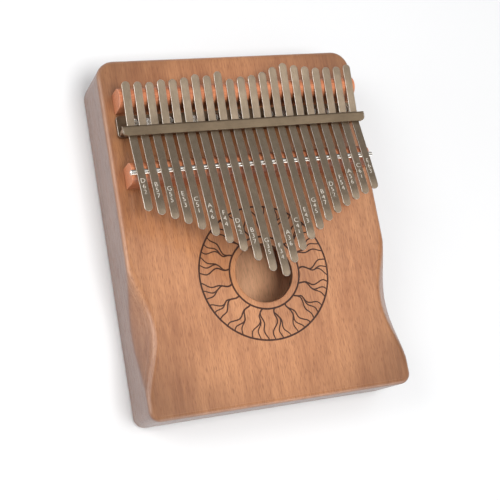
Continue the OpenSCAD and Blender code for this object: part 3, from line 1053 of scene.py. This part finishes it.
class MBIRA_OT_base_plate(bpy.types.Operator):
    """Make the base plate with its screw holes and countersinks"""

    bl_idname = "mbira.base_plate"
    bl_label = "Base plate"
    bl_options = {"REGISTER", "UNDO"}

    def execute(self, context):
        clamp = context.scene.mbira_clamp
        half_w, half_l = BASE_HIGH.x, (BASE_HIGH.y - BASE_LOW.y) / 2
        middle = (BASE_HIGH.y + BASE_LOW.y) / 2
        outline = rounded_outline(half_w, half_l, clamp.base_corner, clamp.base_corner)
        levels = (BASE_LOW.z, BASE_HIGH.z)
        shell = Shell()
        shell.closed([shell.ring([(x, y + middle, z) for x, y in outline]) for z in levels])
        plate = shell.piece("base_bar", clamp_steel())
        below, above = BASE_LOW.z - MM, BASE_HIGH.z + MM
        radius, head = clamp.screw_radius, clamp.wood_head
        sink = BASE_HIGH.z - (head - radius)
        plain = [(radius, below), (radius, above)]
        countersunk = [(radius, below), (radius, sink), (head, BASE_HIGH.z), (head, above)]
        cutter = Shell()
        for screws, hole in (("clamp_screws", plain), ("wood_screws", countersunk)):
            for x in spots(screws):
                turned(cutter, hole, (x, middle_y(screws)))
        carve(plate, cutter)
        settle(ease_edges(plate, clamp.ease), "clamp_steel", "base_plate")
        return {"FINISHED"}


def press_outline(clamp, front):
    """Outline [y, z] of the press bar's folded sheet, with its flange starting at front."""
    back = PRESS_LOW.y + clamp.flange_width
    top, foot, sheet = PRESS_HIGH.z, PRESS_LOW.z, clamp.sheet
    outer = arc((back - clamp.fold, top - clamp.fold), clamp.fold, 0, 90, FOLD_STEPS)
    return [
        (front, top - sheet), (back - sheet, top - sheet), (back - sheet, foot), (back, foot),
        *outer, (front, top),
    ]


class MBIRA_OT_press_bar(bpy.types.Operator):
    """Make the press bar: a folded sheet with a window for each tine and an ear for each clamp screw"""

    bl_idname = "mbira.press_bar"
    bl_label = "Press bar"
    bl_options = {"REGISTER", "UNDO"}

    def execute(self, context):
        clamp = context.scene.mbira_clamp
        shell = Shell()
        # The front corners are round, so the flange starts further back near each end.
        corner = (PRESS_HIGH.x - clamp.corner, PRESS_LOW.y + clamp.corner)
        round_front = arc(corner, -clamp.corner, 180, 90, FRONT_STEPS)
        ends = [(-x, y) for x, y in round_front] + round_front[::-1]
        shell.closed([shell.ring([(x, y, z) for y, z in press_outline(clamp, front)]) for x, front in ends])
        bar = shell.piece("press_angle", clamp_steel())
        flange_foot = PRESS_HIGH.z - clamp.sheet
        back = PRESS_LOW.y + clamp.flange_width
        leg_front, leg_back = back - clamp.sheet - MM, back + MM
        ear_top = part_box("clamp_screws")[1].z - clamp.head_height
        ear_foot = ear_top - clamp.ear_sheet
        half = clamp.ear_width / 2
        ears = Shell()
        for x in spots("clamp_screws"):
            block(ears, (x - half, back - clamp.sheet / 2, ear_foot), (x + half, PRESS_HIGH.y, ear_top))
        carve(bar, ears, "UNION")
        cutter = Shell()
        for side in (-1, 1):
            left, right = sorted((side * (PRESS_HIGH.x + MM), side * (PRESS_HIGH.x - clamp.leg_inset)))
            block(
                cutter, (left, leg_front, PRESS_LOW.z - MM),
                (right, leg_back, flange_foot - clamp.end_gap),
            )
        for name in TINES:
            seat = JOINT_OF[name]["pos_m"][0]
            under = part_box(name + "_shank")[0].z - clamp.window_drop
            block(
                cutter, (seat - clamp.window / 2, leg_front, under),
                (seat + clamp.window / 2, leg_back, flange_foot),
            )
        hole = clamp.screw_radius + clamp.screw_gap
        for x in spots("clamp_screws"):
            profile = [(hole, ear_foot - MM), (hole, ear_top + MM)]
            turned(cutter, profile, (x, middle_y("clamp_screws")))
        carve(bar, cutter)
        settle(ease_edges(bar, clamp.ease), "clamp_steel", "press_bar")
        return {"FINISHED"}


def hexagon(turn):
    """Radius of a hexagon of radius 1 in this direction."""
    sixth = math.pi / 3
    return math.cos(sixth / 2) / math.cos(turn % sixth - sixth / 2)


def thread_share(z, pitch, turn, tooth):
    """Share of a screw's radius that its thread leaves here. tooth is the share that its groove takes."""
    return 1 - tooth * abs(2 * ((z / pitch - turn / math.tau) % 1) - 1)


class MBIRA_OT_clamp_screws(bpy.types.Operator):
    """Make the clamp screws with rounded heads, hexagon sockets and threads"""

    bl_idname = "mbira.clamp_screws"
    bl_label = "Clamp screws"
    bl_options = {"REGISTER", "UNDO"}

    def execute(self, context):
        clamp = context.scene.mbira_clamp
        low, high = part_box("clamp_screws")
        radius, head_r, socket = clamp.screw_radius, (high.y - low.y) / 2, clamp.socket_radius
        top, foot, socket_foot = high.z, high.z - clamp.head_height, high.z - clamp.socket_depth
        pitch, per_turn, tooth = 0.7 * MM, 6, 0.13
        lead, plain_shank, run_out = 0.4 * MM, 1.2 * MM, 0.3 * MM
        thread_foot, thread_top = low.z + lead, foot - plain_shank
        rows = int((thread_top - low.z - lead) / pitch * per_turn)
        foot_r, entry_r, entry = radius * 0.6, radius * 0.8, 0.15 * MM
        profile = [(foot_r, low.z), (entry_r, low.z + entry)]
        profile += [(radius, thread_foot + i * pitch / per_turn) for i in range(rows)]
        threaded = range(2, len(profile))
        ease, bevel, crown, lip = 0.1 * MM, 0.12 * MM, 0.5 * MM, 0.25 * MM
        profile += [(radius, thread_top + run_out), (radius, foot), (head_r - ease, foot)]
        profile.append((head_r, foot + bevel))
        profile += [(head_r - inset, top - drop) for inset, drop in quarter(crown)]
        profile += [(socket + lip, top), (socket, top - bevel)]
        hollow = range(len(profile) - 1, len(profile) + 2)
        profile += [(socket, socket_foot + ease), (socket * 0.9, socket_foot)]

        def radius_at(step, turn):
            if step in threaded:
                return thread_share(profile[step][1], pitch, turn, tooth)
            return hexagon(turn) if step in hollow else 1.0

        shell = Shell()
        for x in spots("clamp_screws"):
            turned(shell, profile, (x, middle_y("clamp_screws")), CLAMP_STEPS, radius_at)
        settle(shell.piece("clamp_bolts", rod_steel()), "screw_steel", "clamp_screws")
        return {"FINISHED"}


class MBIRA_OT_wood_screws(bpy.types.Operator):
    """Make the countersunk wood screws with cross recesses and threads"""

    bl_idname = "mbira.wood_screws"
    bl_label = "Wood screws"
    bl_options = {"REGISTER", "UNDO"}

    def execute(self, context):
        clamp = context.scene.mbira_clamp
        low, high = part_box("wood_screws")
        top, centre_y = high.z, middle_y("wood_screws")
        radius, head = clamp.screw_radius, clamp.wood_head
        neck = top - (head - radius)
        pitch, rows, tooth, plain_shank = 1.3 * MM, 56, 0.24, 3 * MM
        # Over its point the thread grows from a share of its radius at the tip.
        point, at_tip, grown = 3 * MM, 0.25, 0.74
        thread_l = neck - plain_shank - low.z
        tip_r, root_r, shank_r = radius * 0.1, radius * 0.86, radius * 0.98
        run_out, rim, lip, dish = 2.6 * MM, 0.12 * MM, 0.1 * MM, 0.3 * MM
        profile = [(tip_r, low.z)]
        profile += [(radius, low.z + thread_l * i / rows) for i in range(1, rows + 1)]
        profile += [(root_r, neck - run_out), (shank_r, neck - MM), (radius, neck)]
        profile += [(head - rim, top - rim), (head - lip, top - 0.02 * MM), (head - dish, top - 0.01 * MM)]

        def radius_at(step, turn):
            if not 1 <= step <= rows:
                return 1.0
            z = profile[step][1]
            sharpened = at_tip + grown * smooth((z - low.z) / point)
            return thread_share(z, pitch, turn, tooth) * sharpened

        shell = Shell()
        for x in spots("wood_screws"):
            turned(shell, profile, (x, centre_y), WOOD_STEPS, radius_at)
        screws = shell.piece("wood_fixings", rod_steel())
        arm, slot, deep, foot_share = 1.8 * MM, 0.35 * MM, 0.9 * MM, 0.6
        cross = [
            (slot, slot), (slot, arm), (-slot, arm), (-slot, slot), (-arm, slot), (-arm, -slot),
            (-slot, -slot), (-slot, -arm), (slot, -arm), (slot, -slot), (arm, -slot), (arm, slot),
        ]
        cutter = Shell()
        for x in spots("wood_screws"):
            cutter.closed([
                cutter.ring([(x + size * u, centre_y + size * v, z) for u, v in cross])
                for size, z in ((foot_share, top - deep), (1.0, top + MM))
            ])
        carve(screws, cutter)
        settle(screws, "screw_steel", "wood_screws")
        return {"FINISHED"}


# ---------------------------------------------------------------- tines


def rounded_path(corners, radii):
    """Points along a bent line [y, z], with an arc at each of its inner corners."""
    points = [Vector(corners[0])]

    def straight_to(end):
        start = points[-1]
        count = max(1, math.ceil((end - start).length / PATH_STEP))
        points.extend(start.lerp(end, i / count) for i in range(1, count + 1))

    for i in range(1, len(corners) - 1):
        here = Vector(corners[i])
        back = (Vector(corners[i - 1]) - here).normalized()
        ahead = (Vector(corners[i + 1]) - here).normalized()
        turn = math.pi - back.angle(ahead)
        radius = radii[i - 1]
        reach = radius * math.tan(turn / 2)
        straight_to(here + back * reach)
        centre = here + (back + ahead).normalized() * (radius / math.cos(turn / 2))
        first, last = points[-1] - centre, here + ahead * reach - centre
        count = max(2, math.ceil(math.degrees(turn) / BEND_STEP))
        for step in range(1, count + 1):
            points.append(centre + radius * first.lerp(last, step / count).normalized())
    straight_to(Vector(corners[-1]))
    return points


class TinePath:
    """Underside of one tine as a line that can be asked for the point at any distance from the tip."""

    def __init__(self, name, tine, clamp):
        tip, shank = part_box(name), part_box(name + "_shank")
        rise = tine.rise
        along, up = Vector((-math.cos(rise), math.sin(rise))), Vector((math.sin(rise), math.cos(rise)))
        over_rod = Vector((ROD_Y, ROD_Z)) + (ROD_R + ROD_GAP) * up

        def tip_step(turn):
            return tine.tip_length / 2 * Vector((-math.cos(rise - turn), math.sin(rise - turn)))

        first, second = tip_step(tine.tip_turn / 2), tip_step(tine.tip_turn)
        straight = (over_rod.x + first.x + second.x - tip[0].y) / math.cos(rise)
        bend = over_rod + straight * along
        flat_z = shank[0].z
        flat_front = over_rod.x + (over_rod.y - flat_z) / math.tan(rise)
        flat_back = PRESS_LOW.y + clamp.flange_width + tine.press_margin
        slope = math.tan(shank_rise(flat_back, flat_z))
        end = Vector((shank[1].y, flat_z + (shank[1].y - flat_back) * slope))
        corners = [bend + first + second, bend + first, bend, (flat_front, flat_z), (flat_back, flat_z), end]
        radii = [tine.tip_radius, tine.tip_radius, tine.bend_radius, tine.bend_radius]
        self.points = rounded_path(corners, radii)
        self.reach = [0.0]
        for one, two in zip(self.points, self.points[1:]):
            self.reach.append(self.reach[-1] + (two - one).length)
        self.length = self.reach[-1]

    def at(self, distance, height):
        """Point [y, z] at this distance from the tip and this height above the underside."""
        last = len(self.points) - 2
        i = 0
        while i < last and self.reach[i + 1] < distance:
            i += 1
        one, two = self.points[i], self.points[i + 1]
        span = self.reach[i + 1] - self.reach[i]
        part = (distance - self.reach[i]) / span
        way = (two - one) / span
        before = (one - self.points[i - 1]).normalized() if i else way
        after = (self.points[i + 2] - two).normalized() if i < last else way
        start, end = before + way, way + after
        way = start.lerp(end, max(0.0, min(1.0, part))).normalized()
        here = one.lerp(two, part)
        return here + height * Vector((-way.y, way.x))


def shank_rise(flat_back, flat_z):
    """Angle at which the shanks rise from behind the press bar to touch the upper bridge's crest."""
    low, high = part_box("upper_bridge")
    radius = (high.y - low.y) / 2
    away = Vector(((high.y + low.y) / 2 - flat_back, high.z - radius - flat_z))
    return math.atan2(away.y, away.x) + math.asin(radius / away.length)


def strip_ring(shell, path, x, half_w, inset, height):
    """Ring round a strip with full-round ends, seen from above, at one inset and height."""
    radius = half_w - inset
    turns = [math.radians(turn) for turn in steps(0, 90, TIP_STEPS)]
    first, last = half_w + TIP_MARGIN, path.length - half_w - TIP_MARGIN
    start = [(half_w - radius * math.cos(t), radius * math.sin(t)) for t in turns]
    body = [(distance, radius) for distance in path.reach if first < distance < last]
    end = [(path.length - half_w + radius * math.sin(t), radius * math.cos(t)) for t in turns]
    right = start + body + end
    left = [(d, -r) for d, r in reversed(right[1:-1])]
    points = []
    for distance, offset in right + left:
        y, z = path.at(distance, height)
        points.append((x + offset, y, z))
    return shell.ring(points)


def note_mark(rank):
    """Etched characters of one tine: note letter, octave and step of the scale. Rank 0 is the longest."""
    letters, lowest_octave = "FGABCDE", 3
    above_c = rank + len(letters) - letters.index("C")
    octave, step = divmod(above_c, len(letters))
    return letters[rank % len(letters)], str(lowest_octave + octave), str(step + 1)


def glyph(character, size, sheet):
    """Mesh of one character, standing on the origin's line and centred on it."""
    text = bpy.data.curves.new("glyph", "FONT")
    text.body = character
    text.size = size * FONT_SCALE
    text.align_x = "CENTER"
    text.offset = -size * STROKE_TRIM
    text.extrude = sheet
    text.resolution_u = 3
    holder = bpy.data.objects.new("glyph", text)
    mesh = bpy.data.meshes.new_from_object(holder)
    joined = bmesh.new()
    joined.from_mesh(mesh)
    bmesh.ops.remove_doubles(joined, verts=joined.verts, dist=TINY)
    joined.verts.index_update()
    points = [tuple(point.co) for point in joined.verts]
    faces = [tuple(point.index for point in face.verts) for face in joined.faces]
    joined.free()
    bpy.data.objects.remove(holder)
    bpy.data.curves.remove(text)
    bpy.data.meshes.remove(mesh)
    return points, faces


class MBIRA_OT_tines(bpy.types.Operator):
    """Make the tines, each one strip of steel from its plucked tip to its end over the upper bridge"""

    bl_idname = "mbira.tines"
    bl_label = "Tines"
    bl_options = {"REGISTER", "UNDO"}

    def execute(self, context):
        tine, clamp = context.scene.mbira_tines, context.scene.mbira_clamp
        middle = (len(TINES) + 1) // 2
        ease, thick = tine.ease, tine.thickness
        rows = [(ease + EASE_MARGIN, 0.0)] + [(drop, inset) for inset, drop in quarter(ease)]
        rows += [(inset, thick - height) for inset, height in reversed(rows)]
        for number, name in enumerate(TINES, 1):
            low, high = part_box(name)
            x, half_w = (low.x + high.x) / 2, (high.x - low.x) / 2
            path = TinePath(name, tine, clamp)
            shell = Shell()
            rings = [strip_ring(shell, path, x, half_w, inset, height) for inset, height in rows]
            shell.wall(*rings)
            shell.across(rings[0])
            shell.across(rings[-1])
            shell.material = SECOND
            rank = 2 * (middle - number) - 1 if number < middle else 2 * (number - middle)
            for line, character in enumerate(reversed(note_mark(rank))):
                foot = tine.mark_place + line * (tine.mark_size + tine.mark_gap)
                points, faces = glyph(character, tine.mark_size, tine.mark_sheet)
                placed = []
                for across, up, out in points:
                    y, z = path.at(foot + up, thick + tine.mark_rise + out)
                    placed.append((x + across, y, z))
                numbers = shell.ring(placed)
                for face in faces:
                    shell.face(*(numbers[i] for i in face))
            made = shell.piece("tine_strip_" + name[-2:], tine_steel(), etched_steel())
            made.data.shade_smooth()
            mark_edges(made)
            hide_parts(name, name + "_shank")
            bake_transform(made)
        return {"FINISHED"}


# ---------------------------------------------------------------- rosette


def ribbon(shell, points, widths, low, high, closed=False):
    """Flat closed strip along points [x, y], with a width at each point."""
    sections = []
    for i, point in enumerate(points):
        before = points[i - 1] if i or closed else point
        after = points[(i + 1) % len(points)] if i + 1 < len(points) or closed else point
        way = (after - before).normalized()
        aside = Vector((-way.y, way.x)) * widths[i] / 2
        left, right = point + aside, point - aside
        sections.append(shell.ring([(*right, low), (*left, low), (*left, high), (*right, high)]))
    shell.wall(*sections)
    if closed:
        shell.wall(sections[-1], sections[0])
    else:
        shell.fill(sections[0])
        shell.fill(sections[-1])


def polar(radius, turn):
    return Vector((radius * math.cos(turn), HOLE_Y + radius * math.sin(turn)))


def wavy_line(look, start, end, phase):
    """Points of a wavering line between two (radius, angle) places. Lines of one root share the phase."""
    points = []
    for along in steps(0.0, 1.0, WAVE_STEPS):
        radius = start[0] + (end[0] - start[0]) * along
        turn = start[1] + (end[1] - start[1]) * smooth(along)
        outward = (radius - look.inner) / (look.outer - look.inner)
        wave = look.sway * math.sin(math.tau * look.waves * outward + phase + 2 * turn)
        points.append(polar(radius, turn + wave / radius))
    return points


class MBIRA_OT_rosette(bpy.types.Operator):
    """Burn the two circles and the wavering, forking lines between them round the sound hole"""

    bl_idname = "mbira.rosette"
    bl_label = "Rosette"
    bl_options = {"REGISTER", "UNDO"}

    def execute(self, context):
        look = context.scene.mbira_rosette
        chance = random.Random(look.seed)
        low, high = FACE_Z - look.relief, FACE_Z + look.relief
        band = look.outer - look.inner
        shell = Shell()
        for radius in (look.inner, look.outer):
            points = [polar(radius, math.tau * i / CIRCLE_STEPS) for i in range(CIRCLE_STEPS)]
            ribbon(shell, points, [look.line] * len(points), low, high, closed=True)
        sector = math.tau / look.roots
        # Angles are shares of a root's sector, distances shares of the band and widths shares of the line.
        stray, lean, near_side, middle, far_side = 0.06, 0.10, -0.34, -0.01, 0.33
        first_fork, second_fork, bend, char = (0.06, 0.34), (0.14, 0.34), 0.5, (0.7, 0.95)
        trunk, long_branch, short_branch, twig = (1.0, 0.9), (0.85, 0.7), (0.85, 0.8), (0.8, 0.65)
        for root in range(look.roots):
            turn = (root + chance.uniform(-stray, stray)) * sector
            side = sector if root % 2 else -sector
            phase = chance.uniform(-bend, bend)
            fork = (look.inner + band * chance.uniform(*first_fork), turn)
            second = (fork[0] + band * chance.uniform(*second_fork), turn + lean * side)
            for start, end, widths in (
                ((look.inner, turn), fork, trunk),
                (fork, (look.outer, turn + near_side * side), long_branch),
                (fork, second, short_branch),
                (second, (look.outer, turn + middle * side), twig),
                (second, (look.outer, turn + far_side * side), twig),
            ):
                points = wavy_line(look, start, end, phase)
                taper = [look.line * width for width in steps(*widths, len(points) - 1)]
                ribbon(shell, points, taper, low, FACE_Z + look.relief * chance.uniform(*char))
        settle(shell.piece("burned_rosette", burned_wood()), "face_wood")
        return {"FINISHED"}


# ---------------------------------------------------------------- stage


def softbox(name, spot, aim, size, power, tint=(1.0, 1.0, 1.0), glossy=True, diffuse=True):
    """An area light at spot that shines towards aim.

    It can be kept out of reflections (glossy) or out of plain shading (diffuse)."""
    light = bpy.data.lights.new(name, "AREA")
    light.shape = "RECTANGLE"
    light.size, light.size_y = size
    light.energy = power
    light.color = tint
    lamp = bpy.data.objects.new(name, light)
    lamp.location = spot
    lamp.visible_glossy = glossy
    lamp.visible_diffuse = diffuse
    lamp.rotation_mode = "QUATERNION"
    lamp.rotation_quaternion = (Vector(aim) - Vector(spot)).to_track_quat("-Z", "Y")
    bpy.context.scene.collection.objects.link(lamp)


class MBIRA_OT_stage(bpy.types.Operator):
    """Set up the pale floor, the soft studio light and the camera"""

    bl_idname = "mbira.stage"
    bl_label = "Stage"
    bl_options = {"REGISTER", "UNDO"}

    def execute(self, context):
        look = context.scene.mbira_stage
        half = look.floor_size / 2
        shell = Shell()
        sheet = shell.ring([(-half, -half, 0.0), (half, -half, 0.0), (half, half, 0.0), (-half, half, 0.0)])
        shell.face(*sheet)
        paint = bpy.data.materials.new("floor_paint")
        paint.use_nodes = True
        shader = paint.node_tree.nodes["Principled BSDF"]
        shader.inputs["Base Color"].default_value = (*look.floor, 1.0)
        shader.inputs["Roughness"].default_value = look.floor_roughness
        shell.piece("floor", paint)
        world = bpy.data.worlds.new("studio")
        world.use_nodes = True
        sky = world.node_tree.nodes["Background"]
        sky.inputs["Color"].default_value = (*look.sky, 1.0)
        sky.inputs["Strength"].default_value = look.sky_strength
        context.scene.world = world
        aim, bluish = (0.0, 0.0, 0.02), (0.95, 0.97, 1.0)
        softbox("key", (-0.85, 0.32, 0.98), aim, size=(0.5, 0.5), power=3.5)
        softbox("fill", (0.02, -0.20, 1.0), aim, size=(0.4, 0.4), power=7.3, glossy=False)
        softbox("sheen", (0.44, 0.19, 1.15), aim, size=(0.5, 0.5), power=1.3)
        softbox("front", (0.4, -1.3, 0.32), aim, size=(1.1, 0.35), power=6.0, diffuse=False)
        softbox("window", (-1.3, -0.1, 0.42), aim, size=(1.0, 0.5), power=3.6, tint=bluish, glossy=False)
        softbox("rim", (-1.25, 0.2, 0.5), aim, size=(0.9, 0.5), power=7.0, diffuse=False)
        lens = bpy.data.cameras.new("camera")
        lens.lens = look.camera_lens
        camera = bpy.data.objects.new("camera", lens)
        spot = Vector(look.camera_spot)
        ahead = (Vector(look.camera_aim) - spot).normalized()
        right = ahead.cross(Vector(look.camera_up)).normalized()
        turn = Matrix((right, right.cross(ahead), -ahead)).transposed()
        camera.matrix_world = Matrix.Translation(spot) @ turn.to_4x4()
        context.scene.collection.objects.link(camera)
        context.scene.camera = camera
        context.scene.view_settings.view_transform = "Standard"
        return {"FINISHED"}


class MBIRA_PT_panel(bpy.types.Panel):
    """Lists the steps that build the mbira"""

    bl_idname = "MBIRA_PT_panel"
    bl_label = "Mbira"
    bl_space_type = "VIEW_3D"
    bl_region_type = "UI"
    bl_category = "Mbira"

    def draw(self, context):
        for operator in OPERATORS:
            self.layout.operator(operator.bl_idname)


OPERATORS = (
    MBIRA_OT_stage,
    MBIRA_OT_soundboard,
    MBIRA_OT_side_frame,
    MBIRA_OT_back_panel,
    MBIRA_OT_inner_blocks,
    MBIRA_OT_bridges,
    MBIRA_OT_saddle_rod,
    MBIRA_OT_base_plate,
    MBIRA_OT_press_bar,
    MBIRA_OT_clamp_screws,
    MBIRA_OT_wood_screws,
    MBIRA_OT_tines,
    MBIRA_OT_rosette,
)


def register():
    for made in (*GROUPS.values(), *OPERATORS, MBIRA_PT_panel):
        bpy.utils.register_class(made)
    for name, sizes in GROUPS.items():
        setattr(bpy.types.Scene, name, PointerProperty(type=sizes))


def unregister():
    for name in GROUPS:
        delattr(bpy.types.Scene, name)
    for made in (MBIRA_PT_panel, *reversed(OPERATORS), *GROUPS.values()):
        bpy.utils.unregister_class(made)


def main():
    register()
    bpy.ops.mbira.stage()
    bpy.ops.mbira.soundboard()
    bpy.ops.mbira.side_frame()
    bpy.ops.mbira.back_panel()
    bpy.ops.mbira.inner_blocks()
    bpy.ops.mbira.bridges()
    bpy.ops.mbira.saddle_rod()
    bpy.ops.mbira.base_plate()
    bpy.ops.mbira.press_bar()
    bpy.ops.mbira.clamp_screws()
    bpy.ops.mbira.wood_screws()
    bpy.ops.mbira.tines()
    bpy.ops.mbira.rosette()


if __name__ == "__main__":
    main()
